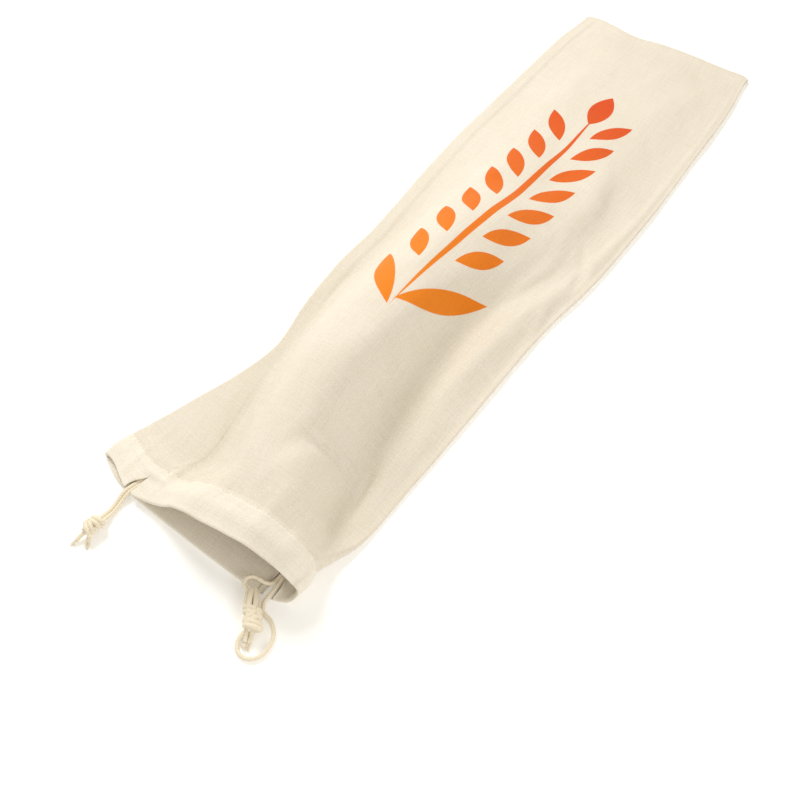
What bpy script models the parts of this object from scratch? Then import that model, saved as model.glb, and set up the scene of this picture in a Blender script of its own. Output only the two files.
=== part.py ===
"""Linen bread bag: a long drawstring pouch of plain-woven cloth, lying on a table with its body filled out.

The bag is two panels of cloth, sewn together down both sides and across the far end. At the mouth each
panel is turned in and stitched down as a casing. The side seams stay open along the casing, and a doubled
cord comes out of each, with its two ends tied together in a knot.

Sizes are in millimetres. The bag is laid out with its mouth at y = 0 and its far end at +y, and is then
moved so that the origin is at the bottom centre of the cloth.
"""

import math
from collections import namedtuple

import bmesh
import bpy
from mathutils import Vector

MM = 0.001

# Cloth and sewing
CLOTH = 1.0
LAYER_GAP = 0.6
SEAM_GAP = 0.3
HEM_DEPTH = 25.0
BAG_LENGTH = 687.0
PAIR = 2 * CLOTH + LAYER_GAP
HEM_STACK = 2 * PAIR + LAYER_GAP

# Cords
CORD = 2.6
CORD_GAP = 0.3
SLIT_WIDTH = 2 * CORD + 6 * CORD_GAP
SLIT_DEPTH = 13.0

# How the bag lies. Each row is one section across it: how far it is from the mouth, the outer left edge,
# where the cloth starts to rise, the crest and its height, where it has come down again, the outer right
# edge, how far each side seam has turned from its edge, how much the flat sides puff up, and at the mouth
# how roundly the right side rolls under.
Section = namedtuple(
    "Section",
    "along left rise crest height fall right seam_left seam_right puff roll_radius roll_angle",
)
SECTIONS = (
    Section(0, -104, -68, 36, 42, 66, 80, 32.6, 6, 0.0, 10.0, 55),
    Section(25, -101, -57, 34, 48, 66, 79, 41.4, 7, 0.6, 9.0, 48),
    Section(44, -97, -45, 28, 53, 70, 83, 51, 9, 1.0, 4.0, 20),
    Section(60, -92, -44, 22, 56, 66, 88, 46, 9, 1.6, 1.0, 4),
    Section(85, -85, -48, 14, 57, 61, 90, 34, 7, 2.6, 0.0, 0),
    Section(115, -76, -55, 6, 60, 57, 90, 18, 5, 3.4, 0.0, 0),
    Section(150, -71, -62, 0, 63, 52, 91, 7, 4, 4.0, 0.0, 0),
    Section(195, -79, -68, -6, 57, 48, 91, 3, 3, 4.2, 0.0, 0),
    Section(250, -86, -74, -10, 50, 47, 91, 3, 3, 4.2, 0.0, 0),
    Section(305, -87, -74, -8, 43, 62, 93, 3, 3, 3.8, 0.0, 0),
    Section(350, -91, -76, -4, 33, 74, 98, 3, 3, 3.0, 0.0, 0),
    Section(400, -95, -82, 0, 21, 82, 100, 3, 3, 2.2, 0.0, 0),
    Section(460, -98, -88, 0, 13, 88, 100, 3, 3, 1.4, 0.0, 0),
    Section(545, -98, -90, 4, 9, 88, 97, 3, 3, 1.0, 0.0, 0),
    Section(630, -99, -90, 2, 7, 84, 93, 3, 3, 0.8, 0.0, 0),
    Section(BAG_LENGTH, -95, -86, 0, PAIR, 78, 87, 3, 3, 0.0, 0.0, 0),
)

# How far the mouth's rim stands back (+) or forward (-) of a straight cut, along its way round: from the
# left edge over the top, round the right side and back underneath.
Rim = namedtuple("Rim", "round_share back")
RIM_LINE = (
    Rim(0.00, 4.0),
    Rim(0.09, -8.0),
    Rim(0.15, -5.0),
    Rim(0.28, 0.0),
    Rim(0.42, 6.0),
    Rim(0.50, 8.0),
    Rim(0.54, -1.0),
    Rim(0.58, -6.0),
    Rim(0.75, -8.0),
    Rim(0.92, -6.0),
    Rim(1.00, 4.0),
)
RIM_REACH = 110.0

# Creases on the top of the cloth: where each is, how long and wide it is, the way it runs from +x, and
# how high it stands, or how deep it is below zero.
Crease = namedtuple("Crease", "x along length width turn height")
CREASES = (
    Crease(30, 92, 34, 9, 62, -4.0),
    Crease(-22, 120, 46, 13, 118, -2.6),
    Crease(66, 238, 60, 8, 84, 2.4),
    Crease(88, 352, 26, 7, 128, -5.0),
    Crease(62, 330, 44, 14, 100, 3.0),
    Crease(-30, 420, 70, 20, 60, 3.2),
    Crease(44, 455, 60, 18, 120, 3.4),
    Crease(78, 515, 26, 8, 140, -3.2),
    Crease(-48, 560, 66, 20, 100, 3.0),
    Crease(20, 620, 54, 16, 24, -2.6),
    Crease(52, 600, 40, 16, 70, 3.0),
)

# The far end is cut a little askew
END_SKEW = 0.03
SKEW_FROM = 520.0

# Rows of faces along the cloth, closest where it bends most, and columns across each run of it
ROWS_ALONG = (
    BAG_LENGTH, 660, 625, 590, 552, 515, 480, 448, 418, 390, 364, 340, 316, 292, 266, 240,
    215, 192, 170, 150, 132, 114, 98, 84, 70, 58, 48, 39, 31, 24, 16, 8, 2,
)
HEM_TURN_STEPS = 3
HEM_ROWS_INSIDE = (2, 8, 16, 24)
TOP_COLUMNS = 22
FOLD_STEPS = 4
UNDER_COLUMNS = 3
FLOOR_COLUMNS = 9
FLANGE_COLUMNS = 5

LINEN = (0.88, 0.80, 0.68, 1.0)
CORD_COTTON = (0.86, 0.78, 0.64, 1.0)


def cleared_scene():
    """Removes what the scene holds and gives a collection for the bag's own pieces."""
    for old in list(bpy.data.objects):
        bpy.data.objects.remove(old)
    bag = bpy.data.collections.new("linen_bread_bag")
    bpy.context.scene.collection.children.link(bag)
    return bag


def cloth_material(name, colour, roughness):
    """A plain matt material of this colour."""
    material = bpy.data.materials.new(name)
    material.use_nodes = True
    shader = material.node_tree.nodes["Principled BSDF"]
    shader.inputs["Base Color"].default_value = colour
    shader.inputs["Roughness"].default_value = roughness
    shader.inputs["Metallic"].default_value = 0.0
    return material


def ease(value, low, high):
    """0 below low, 1 above high, and a smooth step between."""
    share = min(1.0, max(0.0, (value - low) / (high - low)))
    return share * share * (3 - 2 * share)


def eased_table(table, value):
    """The row of a table at this value of its first column, on a smooth curve through the rows."""
    table = [tuple(row) for row in table]
    last = len(table) - 1
    i = 0
    while i < last - 1 and value > table[i + 1][0]:
        i += 1
    here, there = table[i], table[i + 1]
    before, after = table[max(i - 1, 0)], table[min(i + 2, last)]
    span = there[0] - here[0]
    t = min(1.0, max(0.0, (value - here[0]) / span))
    result = []
    for a, b, c, d in zip(before, here, there, after):
        slope_in = (c - a) / max(there[0] - before[0], 1e-9) * span
        slope_out = (d - b) / max(after[0] - here[0], 1e-9) * span
        if (b - a) * (c - b) <= 0:
            slope_in = 0.0
        if (c - b) * (d - c) <= 0:
            slope_out = 0.0
        t2, t3 = t * t, t * t * t
        result.append(
            (2 * t3 - 3 * t2 + 1) * b + (t3 - 2 * t2 + t) * slope_in
            + (3 * t2 - 2 * t3) * c + (t3 - t2) * slope_out
        )
    return result


def bezier(start, start_way, end_way, end, steps):
    """Points of a cubic curve from start to end, without the first."""
    points = []
    for k in range(1, steps + 1):
        t = k / steps
        a, b, c, d = (1 - t) ** 3, 3 * t * (1 - t) ** 2, 3 * t * t * (1 - t), t**3
        points.append(tuple(a * p + b * q + c * r + d * s
                            for p, q, r, s in zip(start, start_way, end_way, end)))
    return points


def arc(centre, radius, first, last, steps):
    """Points (x, z) on an arc, its angles in degrees from straight up, clockwise."""
    angles = (math.radians(first + (last - first) * k / steps) for k in range(steps + 1))
    return [(centre[0] + radius * math.sin(a), centre[1] + radius * math.cos(a)) for a in angles]


def lengths(points):
    """The distance along a line of points at each of them."""
    total = [0.0]
    for a, b in zip(points, points[1:]):
        total.append(total[-1] + math.dist(a, b))
    return total


def spaced(points, first, last, count):
    """count points at even steps along a line, from one distance along it to another."""
    ways = lengths(points)
    result = []
    k = 0
    for n in range(count):
        way = first + (last - first) * n / (count - 1)
        while k < len(ways) - 2 and ways[k + 1] < way:
            k += 1
        t = (way - ways[k]) / max(ways[k + 1] - ways[k], 1e-9)
        result.append(tuple(p + (q - p) * t for p, q in zip(points[k], points[k + 1])))
    return result


def fold_radius(along):
    """Half the thickness of the cloth's stack at a flat edge, which the turned-in casing doubles."""
    return (HEM_STACK + (PAIR - HEM_STACK) * ease(along, HEM_DEPTH + 1, HEM_DEPTH + 15)) / 2


def section_runs(along):
    """The outer skin of one section as four runs of points (x, z), clockwise as seen from the mouth:
    over the top, round the right edge, back along the floor, and round the left edge."""
    s = Section(*eased_table(SECTIONS, along))
    left_radius = fold_radius(along)
    right_radius = left_radius + s.roll_radius
    flat = 2 * left_radius
    roll = math.radians(s.roll_angle)
    centre_x = s.right - right_radius
    fall = min(s.fall, centre_x - 0.5)
    landing = (fall + right_radius * math.sin(roll), right_radius + right_radius * math.cos(roll))
    down = (math.cos(roll), -math.sin(roll))
    up_run, down_run = s.crest - s.rise, landing[0] - s.crest
    height = max(s.height, flat)

    top = [(s.left + left_radius, flat), (s.rise, flat)]
    top += bezier(
        top[-1], (s.rise + 0.36 * up_run, flat), (s.crest - 0.62 * up_run, height), (s.crest, height), 24
    )
    landing_way = 0.30 * down_run
    top += bezier(
        (s.crest, height), (s.crest + 0.60 * down_run, height),
        (landing[0] - down[0] * landing_way, landing[1] - down[1] * landing_way), landing, 24,
    )
    if s.roll_angle < 1:
        run = centre_x - fall
        top += [(fall + run * k / 8, flat + s.puff * math.sin(math.pi * k / 8) ** 2) for k in range(1, 9)]
    right_turn = arc((centre_x, right_radius), right_radius, s.roll_angle, 180, FOLD_STEPS)
    floor = [(centre_x, 0.0), (s.left + left_radius, 0.0)]
    left_turn = arc((s.left + left_radius, left_radius), left_radius, 180, 360, FOLD_STEPS)
    return s, top, right_turn, floor, left_turn


def crease_height(x, along):
    """How far the creases lift the top of the cloth at this place."""
    lift = 0.0
    for crease in CREASES:
        turn = math.radians(crease.turn)
        dx, dy = x - crease.x, along - crease.along
        lengthways = (dx * math.cos(turn) + dy * math.sin(turn)) / crease.length
        crossways = (dy * math.cos(turn) - dx * math.sin(turn)) / crease.width
        lift += crease.height * math.exp(-lengthways**2 - crossways**2)
    return lift


def slit(along):
    """The gap between the two panels at a side seam, which opens at the casing to let the cord out."""
    return SEAM_GAP + (SLIT_WIDTH - SEAM_GAP) * (1 - ease(along, SLIT_DEPTH, HEM_DEPTH))


def creased(points, along):
    """The points of a top run with the creases in them. The flat edges stay down."""
    flat = 2 * fold_radius(along)
    return [(x, z + crease_height(x, along) * ease(z, flat, flat + 5)) for x, z in points]


def section_skins(along):
    """One section's skin as two lines of points, the front panel's and the back panel's, and the share of
    the way round at which each point lies."""
    s, top, right_turn, floor, left_turn = section_runs(along)
    top = creased(top, along)
    top_way, floor_way = lengths(top)[-1], lengths(floor)[-1]
    right_way, left_way = lengths(right_turn)[-1], lengths(left_turn)[-1]
    girth = top_way + right_way + floor_way + left_way
    half_slit = slit(along) / 2

    front = spaced(top, s.seam_left + half_slit, top_way, TOP_COLUMNS) + right_turn[1:]
    front += spaced(floor, 0.0, s.seam_right - half_slit, UNDER_COLUMNS)[1:]
    back = spaced(floor, s.seam_right + half_slit, floor_way, FLOOR_COLUMNS) + left_turn[1:]
    back += spaced(top, 0.0, s.seam_left - half_slit, FLANGE_COLUMNS)[1:]

    front_start = (left_way / 2 + s.seam_left) / girth
    back_start = (left_way / 2 + top_way + right_way + s.seam_right) / girth
    front_shares = [front_start + way / girth for way in lengths(front)]
    back_shares = [back_start + way / girth for way in lengths(back)]
    return (front, front_shares), (back, back_shares)


def inward(points, k):
    """The step from the skin into the bag at one point of a section, that keeps its sides parallel."""
    sides = []
    for a, b in zip(points[max(k - 1, 0):k + 1], points[max(k, 1):k + 2]):
        size = math.dist(a, b)
        sides.append(((b[1] - a[1]) / size, (a[0] - b[0]) / size))
    x = sum(side[0] for side in sides) / len(sides)
    z = sum(side[1] for side in sides) / len(sides)
    return x / (x * x + z * z), z / (x * x + z * z)


def placed(x, z, along, share):
    """A point of the skin in space, with the rim's line and the far end's skew."""
    rim = eased_table(RIM_LINE, share % 1.0)[1]
    fade = max(0.0, 1 - along / RIM_REACH) ** 2
    skew = END_SKEW * x * ease(along, SKEW_FROM, BAG_LENGTH)
    return Vector((x, along + rim * fade + skew, z))


def panel_rows(side):
    """The rows of points of one panel's skin: from the far end to the mouth, round the rim, and back
    inside as the turned-in casing."""
    radius = PAIR / 2
    plan = [(along, 0.0, 0.0) for along in ROWS_ALONG]
    for k in range(1, HEM_TURN_STEPS + 1):
        angle = math.pi * k / (HEM_TURN_STEPS + 1)
        plan.append((radius, radius * (1 - math.cos(angle)), radius * math.sin(angle)))
    plan += [(along, PAIR, 0.0) for along in HEM_ROWS_INSIDE]

    rows = []
    for along, depth, forward in plan:
        points, shares = section_skins(along)[side]
        row = []
        for k, ((x, z), share) in enumerate(zip(points, shares)):
            way = inward(points, k)
            row.append(placed(x + way[0] * depth, z + way[1] * depth, along, share) - Vector((0, forward, 0)))
        rows.append(row)
    return rows


def add_panel(name, side, collection, material, shift):
    """One panel as a sheet of cloth: a grid laid on its rows of points, thickened inwards."""
    rows = panel_rows(side)
    across, up = len(rows[0]) - 1, len(rows) - 1
    mesh = bpy.data.meshes.new(name)
    bm = bmesh.new()
    bmesh.ops.create_grid(bm, x_segments=across, y_segments=up, size=1.0)
    for vertex in bm.verts:
        column = round((vertex.co.x + 1) / 2 * across)
        row = round((vertex.co.y + 1) / 2 * up)
        vertex.co = (rows[row][column] + shift) * MM
    bmesh.ops.reverse_faces(bm, faces=bm.faces)
    bm.to_mesh(mesh)
    bm.free()
    mesh.materials.append(material)
    mesh.shade_smooth()
    panel = bpy.data.objects.new(name, mesh)
    collection.objects.link(panel)
    thickness = panel.modifiers.new("cloth thickness", "SOLIDIFY")
    thickness.thickness = CLOTH * MM
    thickness.offset = -1.0
    thickness.use_even_offset = True
    return panel


# Cords. A route is the line of a strand's middle, from inside the slit of the casing to its knot.
Cord = namedtuple("Cord", "name route")
CORDS = (
    Cord("left_cord_1", (
        (-66.0, 6, 4.4), (-68.2, 1.3, 4.5), (-69.3, -3, 4.6), (-70.2, -8, 4.4), (-70.3, -13, 3.0),
        (-69.6, -19, 1.7), (-68.9, -25, 1.9), (-68.5, -30, 3.6), (-68.2, -34.0, 4.8),
    )),
    Cord("left_cord_2", (
        (-62.8, 6, 4.4), (-65.0, 1.3, 4.6), (-66.2, -3, 4.7), (-67.0, -8, 4.4), (-67.2, -13, 2.9),
        (-66.6, -19, 1.7), (-65.8, -25, 1.9), (-65.4, -30, 3.6), (-65.3, -34.0, 4.8),
    )),
    Cord("right_cord_1", (
        (59.0, 8, 1.7), (58.9, 4, 4.2), (56.4, 0.8, 7.8), (52.4, -0.2, 10.0), (48.2, -1.4, 10.6),
        (45.4, -4.6, 10.2), (46.2, -8.8, 9.0), (51.2, -10.3, 7.0),
    )),
    Cord("right_cord_2", (
        (61.9, 8, 1.7), (62.4, 3, 2.2), (62.8, -3, 3.0), (63.2, -9, 2.6), (66.6, -14.0, 1.6),
        (74.6, -15.6, 1.4), (81.6, -20.4, 1.4), (85.0, -28.6, 1.4), (84.4, -37.4, 1.4), (78.6, -43.4, 1.4),
        (70.6, -43.2, 1.4), (66.6, -38.6, 1.4), (66.0, -33.4, 2.4), (67.1, -28.0, 4.6),
    )),
)
CORD_STEP = 2.2

# Knots. Each is a doubled cord wound round itself: where its middle is, which way it lies, the length of
# its barrel, the turns of cord round it, and the two loose ends that come out of it.
Knot = namedtuple("Knot", "name middle heading length turns ends")
KNOTS = (
    Knot("left_knot", (-66.8, -40.0, 5.4), 265, 11.0, 1.3, (
        ((-68.4, -45, 4.2), (-69.0, -51, 2.6), (-70.6, -60, 1.7)),
        ((-65.6, -45, 4.2), (-63.4, -51, 2.4), (-57.6, -57, 1.6)),
    )),
    Knot("right_knot", (61.4, -18.8, 6.4), 319, 24.0, 2.4, (
        ((69.0, -25, 5.4), (73.2, -29, 3.4), (75.4, -35, 1.7)),
        ((69.0, -26, 4.6), (71.6, -30.4, 2.6), (72.4, -37, 1.6)),
    )),
)
WRAP_RADIUS = 3.3
KNOT_VOXEL = 1.25


def smooth_line(route, step):
    """Points every step along a smooth curve through the points of a route."""
    table = [(way, *point) for way, point in zip(lengths(route), route)]
    total = table[-1][0]
    count = max(2, round(total / step))
    return [tuple(eased_table(table, total * k / count)[1:]) for k in range(count + 1)]


def tube(name, points, radius, collection, shift):
    """A round tube with closed ends along a line of points."""
    curve = bpy.data.curves.new(name, "CURVE")
    curve.dimensions = "3D"
    curve.bevel_depth = radius * MM
    curve.bevel_resolution = 2
    curve.use_fill_caps = True
    spline = curve.splines.new("POLY")
    spline.points.add(len(points) - 1)
    for target, point in zip(spline.points, points):
        target.co = (*((Vector(point) + shift) * MM), 1.0)
    item = bpy.data.objects.new(name, curve)
    collection.objects.link(item)
    return item


def knot_lines(knot):
    """The lines that a knot is wound from: its core, the cord round it and its loose ends."""
    heading = math.radians(knot.heading)
    forward = Vector((math.cos(heading), math.sin(heading), 0))
    across = Vector((-forward.y, forward.x, 0))
    up = Vector((0, 0, 1))
    middle = Vector(knot.middle)
    half = knot.length / 2
    core = [middle - forward * half, middle, middle + forward * half]
    steps = round(14 * knot.turns)
    wrap = []
    for k in range(steps + 1):
        share = k / steps
        angle = 2 * math.pi * knot.turns * share
        along = (share - 0.5) * (knot.length - 2.4 * CORD)
        wrap.append(middle + forward * along + (across * math.cos(angle) + up * math.sin(angle)) * WRAP_RADIUS)
    ends = [smooth_line(end, CORD_STEP) for end in knot.ends]
    return core, wrap, ends


def add_knot(knot, collection, material, shift):
    """A knot: its lines as tubes, joined and remeshed into one lumpy solid."""
    core, wrap, ends = knot_lines(knot)
    radius = CORD / 2
    parts = [tube("core", core, 1.7 * radius, collection, shift), tube("wrap", wrap, 1.45 * radius, collection, shift)]
    parts += [tube("end", end, radius, collection, shift) for end in ends]
    bpy.context.view_layer.update()
    graph = bpy.context.evaluated_depsgraph_get()
    bm = bmesh.new()
    for part in parts:
        piece = bpy.data.meshes.new_from_object(part.evaluated_get(graph))
        bm.from_mesh(piece)
        bpy.data.meshes.remove(piece)
    bmesh.ops.remove_doubles(bm, verts=bm.verts, dist=1e-6)
    mesh = bpy.data.meshes.new(knot.name)
    bm.to_mesh(mesh)
    bm.free()
    for part in parts:
        bpy.data.objects.remove(part)
    mesh.materials.append(material)
    item = bpy.data.objects.new(knot.name, mesh)
    collection.objects.link(item)
    fused = item.modifiers.new("fused turns", "REMESH")
    fused.mode = "VOXEL"
    fused.voxel_size = KNOT_VOXEL * MM
    fused.use_smooth_shade = True
    return item


def origin_shift():
    """The move that puts the origin at the bottom centre of the box round both panels."""
    points = [point for side in (0, 1) for row in panel_rows(side) for point in row]
    xs, ys, zs = zip(*points)
    return Vector((-(min(xs) + max(xs)) / 2, -(min(ys) + max(ys)) / 2, -min(zs)))


def main():
    bag = cleared_scene()
    linen = cloth_material("linen", LINEN, 0.9)
    cotton = cloth_material("cord_cotton", CORD_COTTON, 0.85)
    shift = origin_shift()
    add_panel("front_panel", 0, bag, linen, shift)
    add_panel("back_panel", 1, bag, linen, shift)
    for cord in CORDS:
        strand = tube(cord.name, smooth_line(cord.route, CORD_STEP), CORD / 2, bag, shift)
        strand.data.materials.append(cotton)
    for knot in KNOTS:
        add_knot(knot, bag, cotton, shift)


main()
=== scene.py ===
import math
from collections import namedtuple

import bmesh
import bpy
import numpy as np
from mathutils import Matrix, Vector, noise


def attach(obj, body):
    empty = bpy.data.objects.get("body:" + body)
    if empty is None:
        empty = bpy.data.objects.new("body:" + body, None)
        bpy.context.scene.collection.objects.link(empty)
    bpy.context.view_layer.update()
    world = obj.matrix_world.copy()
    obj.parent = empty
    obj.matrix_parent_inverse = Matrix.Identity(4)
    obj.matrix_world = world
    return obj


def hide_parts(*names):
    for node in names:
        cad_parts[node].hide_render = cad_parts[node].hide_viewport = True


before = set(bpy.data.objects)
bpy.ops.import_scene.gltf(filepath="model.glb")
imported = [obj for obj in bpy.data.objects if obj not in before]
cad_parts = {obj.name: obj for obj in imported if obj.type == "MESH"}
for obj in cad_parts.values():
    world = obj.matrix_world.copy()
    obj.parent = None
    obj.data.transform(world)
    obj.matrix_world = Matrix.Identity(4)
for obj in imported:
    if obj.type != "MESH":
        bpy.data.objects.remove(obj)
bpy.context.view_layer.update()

# Camera
# It stands over the mouth's right side and looks down along the bag, as in the photograph. Places are in
# millimetres along the bag from the middle of its mouth, as it is sewn, and TO_ROW moves them to the
# part's own frame.
MM = 0.001
TO_ROW = Vector((1.984, -340.876, 0.0))
CAMERA_PLACE = (249.3, -105.6, 549.6)
CAMERA_AZIMUTH = 37.16
CAMERA_ELEVATION = 57.5
CAMERA_LENS = 38.25
CAMERA_SENSOR = 36.0
camera = bpy.data.cameras.new("studio_camera")
camera.sensor_width = CAMERA_SENSOR
camera.lens = CAMERA_LENS
camera.clip_start = 0.01
camera_holder = bpy.data.objects.new("studio_camera", camera)
turn, tilt = math.radians(CAMERA_AZIMUTH), math.radians(CAMERA_ELEVATION)
back_way = Vector((math.sin(turn) * math.cos(tilt), -math.cos(turn) * math.cos(tilt), math.sin(tilt)))
camera_holder.location = (Vector(CAMERA_PLACE) + TO_ROW) * MM
camera_holder.rotation_mode = "QUATERNION"
camera_holder.rotation_quaternion = (-back_way).to_track_quat("-Z", "Y")
bpy.context.scene.collection.objects.link(camera_holder)
bpy.context.scene.camera = camera_holder


# Cords
# A soft cotton cord of three plies, 3 mm thick, runs through the casing and comes out of each side seam
# as a pair of strands. The left pair lies down over the rim. Of the right pair, one strand hangs over the
# rim and the other drops to the surface in a loop. A route starts inside the slit and ends at its knot.
CORD_RADIUS = 1.5
PLIES = 3
PLY_LAY = 6.5
PLY_CORE = 0.74
PLY_CROWN = 0.26
PLY_ROUNDNESS = 0.6
CORD_SIDES = 24
CORD_STEP = 0.4
CORD_CREAM = ("#F8F0DF", "#EADCC0")
LEFT_CORD_1 = (
    (-64.4, 15, 4.0), (-64.8, 11, 4.1), (-66.0, 6, 4.4), (-68.2, 1.3, 4.5), (-69.3, -3, 4.6),
    (-70.2, -8, 4.4), (-70.3, -13, 3.0), (-69.6, -19, 1.7), (-68.9, -25, 1.9), (-68.5, -30, 3.6),
    (-68.2, -34.0, 4.8),
)
LEFT_CORD_2 = (
    (-62.0, 15, 4.0), (-62.0, 11, 4.1), (-62.8, 6, 4.4), (-65.0, 1.3, 4.6), (-66.2, -3, 4.7),
    (-67.0, -8, 4.4), (-67.2, -13, 2.9), (-66.6, -19, 1.7), (-65.8, -25, 1.9), (-65.4, -30, 3.6),
    (-65.3, -34.0, 4.8),
)
RIGHT_CORD_1 = (
    (60.0, 16, 2.3), (59.6, 12, 2.1), (59.0, 8, 1.7), (58.9, 4, 4.2), (56.4, 0.8, 7.8),
    (52.4, -0.2, 10.0), (48.2, -1.4, 10.6), (45.4, -4.6, 10.2), (46.2, -8.8, 9.0), (51.2, -10.3, 7.0),
)
RIGHT_CORD_2 = (
    (61.8, 16, 2.3), (61.8, 12, 2.1), (61.9, 8, 1.7), (62.4, 3, 2.2), (62.8, -3, 3.0), (63.2, -9, 2.6),
    (66.6, -14.0, 1.6), (74.6, -15.6, 1.4), (81.6, -20.4, 1.4), (85.0, -28.6, 1.4), (84.4, -37.4, 1.4),
    (78.6, -43.4, 1.4), (70.6, -43.2, 1.4), (66.6, -38.6, 1.4), (66.0, -33.4, 2.4), (67.1, -28.0, 4.6),
)


def smooth_line(route, step):
    """Points every step along a smooth curve through the points of a route."""
    route = np.array(route, float)
    ways = np.concatenate(([0.0], np.cumsum(np.linalg.norm(np.diff(route, axis=0), axis=1))))
    slopes = np.gradient(route, ways, axis=0)
    at = np.linspace(0, ways[-1], max(3, round(ways[-1] / step)) + 1)
    k = np.clip(np.searchsorted(ways, at, side="right") - 1, 0, len(ways) - 2)
    span = (ways[k + 1] - ways[k])[:, None]
    t = (at - ways[k])[:, None] / span
    return (
        (2 * t**3 - 3 * t**2 + 1) * route[k] + (t**3 - 2 * t**2 + t) * slopes[k] * span
        + (3 * t**2 - 2 * t**3) * route[k + 1] + (t**3 - t**2) * slopes[k + 1] * span
    )


def ply_tube(bm, line, radius, plies, lay, sides):
    """A tube along a line whose section has a lobe for each ply, which turns once in each lay."""
    points = [Vector(point) for point in line]
    ways = np.concatenate(([0.0], np.cumsum([(b - a).length for a, b in zip(points, points[1:])])))
    normal = None
    rings = []
    for k, point in enumerate(points):
        way = (points[min(k + 1, len(points) - 1)] - points[max(k - 1, 0)]).normalized()
        if normal is None:
            normal = way.orthogonal().normalized()
        normal = (normal - way * normal.dot(way)).normalized()
        other = way.cross(normal)
        turned = 2 * math.pi * ways[k] / lay
        ring = []
        for j in range(sides):
            angle = 2 * math.pi * j / sides
            lobe = abs(math.cos((angle - turned) * plies / 2))
            size = radius * (PLY_CORE + PLY_CROWN * lobe**PLY_ROUNDNESS)
            outwards = normal * math.cos(angle) + other * math.sin(angle)
            ring.append(bm.verts.new((point + outwards * size + TO_ROW) * MM))
        rings.append(ring)
    for one, two in zip(rings, rings[1:]):
        for j in range(sides):
            bm.faces.new((one[j], one[(j + 1) % sides], two[(j + 1) % sides], two[j]))
    bm.faces.new(rings[0][::-1])
    bm.faces.new(rings[-1])


def cord_piece(name, lines):
    """One piece of cord from its lines: (line, radius, plies, lay, sides) each."""
    mesh = bpy.data.meshes.new(name)
    bm = bmesh.new()
    for line in lines:
        ply_tube(bm, *line)
    bmesh.ops.recalc_face_normals(bm, faces=bm.faces)
    bm.to_mesh(mesh)
    bm.free()
    mesh.shade_smooth()
    piece = bpy.data.objects.new(name, mesh)
    bpy.context.scene.collection.objects.link(piece)
    return piece


def hex_colour(code):
    """A linear colour from an sRGB hex value."""
    shares = [int(code[k:k + 2], 16) / 255 for k in (1, 3, 5)]
    return (*(s / 12.92 if s <= 0.04045 else ((s + 0.055) / 1.055) ** 2.4 for s in shares), 1.0)


def add_node(tree, kind, settings=None, inputs=None):
    """Adds a shader node. An input is given a value, or the output of another node to link."""
    made = tree.nodes.new("ShaderNode" + kind)
    for name, value in (settings or {}).items():
        setattr(made, name, value)
    for name, value in (inputs or {}).items():
        if isinstance(value, bpy.types.NodeSocket):
            tree.links.new(value, made.inputs[name])
        else:
            made.inputs[name].default_value = value
    return made


def thread_material(name, colour, relief_mm):
    """Spun cotton: matt and a little fuzzy, with fine fibres that catch the light."""
    material = bpy.data.materials.new(name)
    material.use_nodes = True
    tree = material.node_tree
    tree.nodes.clear()
    where = add_node(tree, "TexCoord").outputs["Object"]
    fibre = add_node(tree, "TexNoise", inputs={
        "Vector": where, "Scale": 1 / (relief_mm * MM), "Detail": 3.0}).outputs["Fac"]
    tint = add_node(tree, "Mix", {"data_type": "RGBA"},
                    {0: fibre, 6: hex_colour(colour[0]), 7: hex_colour(colour[1])}).outputs[2]
    bump = add_node(tree, "Bump", inputs={"Strength": 0.5, "Distance": 0.0002, "Height": fibre}).outputs[0]
    shader = add_node(tree, "BsdfPrincipled", inputs={
        "Base Color": tint, "Roughness": 0.85, "IOR": 1.5, "Specular IOR Level": 0.3,
        "Sheen Weight": 0.2, "Sheen Roughness": 0.5, "Normal": bump})
    add_node(tree, "OutputMaterial", inputs={"Surface": shader.outputs[0]})
    return material


CORD_FIBRE_MM = 0.7
cord_cotton = thread_material("twisted_cotton_cord", CORD_CREAM, CORD_FIBRE_MM)
strands = {}
for strand_name, route in (("left_cord_1", LEFT_CORD_1), ("left_cord_2", LEFT_CORD_2),
                           ("right_cord_1", RIGHT_CORD_1), ("right_cord_2", RIGHT_CORD_2)):
    line = smooth_line(route, CORD_STEP)
    strand = cord_piece(strand_name + "_twisted", [(line, CORD_RADIUS, PLIES, PLY_LAY, CORD_SIDES)])
    strand.data.materials.append(cord_cotton)
    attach(strand, "root")
    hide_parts(strand_name)
    strands[strand_name] = (strand, [(Vector(point) + TO_ROW) * MM for point in line])

# Knots
# The two strands at each side are tied together in a knot: a short fat one at the left, and one with more
# turns at the right. The cord is drawn 3.6 mm thick in them, and its cut ends stick out and have frayed.
Knot = namedtuple("Knot", "name middle heading length cores core_out wraps wrap_out slant ends")
KNOTS = (
    Knot("left_knot", (-67.6, -40.4, 6.2), 262, 13.0, 4, 2.6, (-0.26, 0.18), 4.2, 1.6, (
        ((-67.0, -42, 5.4), (-68.8, -47, 4.6), (-69.8, -51, 3.0), (-70.2, -54.5, 1.9)),
        ((-66.0, -42, 5.0), (-64.6, -46.5, 3.6), (-62.9, -50.5, 1.9)),
    )),
    Knot("right_knot", (61.6, -18.0, 6.8), 313, 28.0, 6, 4.0, (0.04, 0.21, 0.37), 4.7, -2.2, (
        ((67.4, -24.2, 6.4), (70.2, -28.0, 4.8), (72.6, -32.2, 3.0), (73.6, -35.0, 1.9)),
        ((65.2, -25.6, 5.6), (67.6, -30.0, 3.8), (69.8, -33.8, 2.2), (70.8, -36.2, 1.7)),
    )),
)
KNOT_CORD_RADIUS = 1.8
KNOT_SIDES = 16
KNOT_FLAT = 0.9
TURN_POINTS = 26
TURN_SPACING = 1.6
TURN_FLAT = 0.86
END_SWELL = 1.1
FRAY_FIBRES = 16
FRAY_LONG = 4.0
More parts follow.
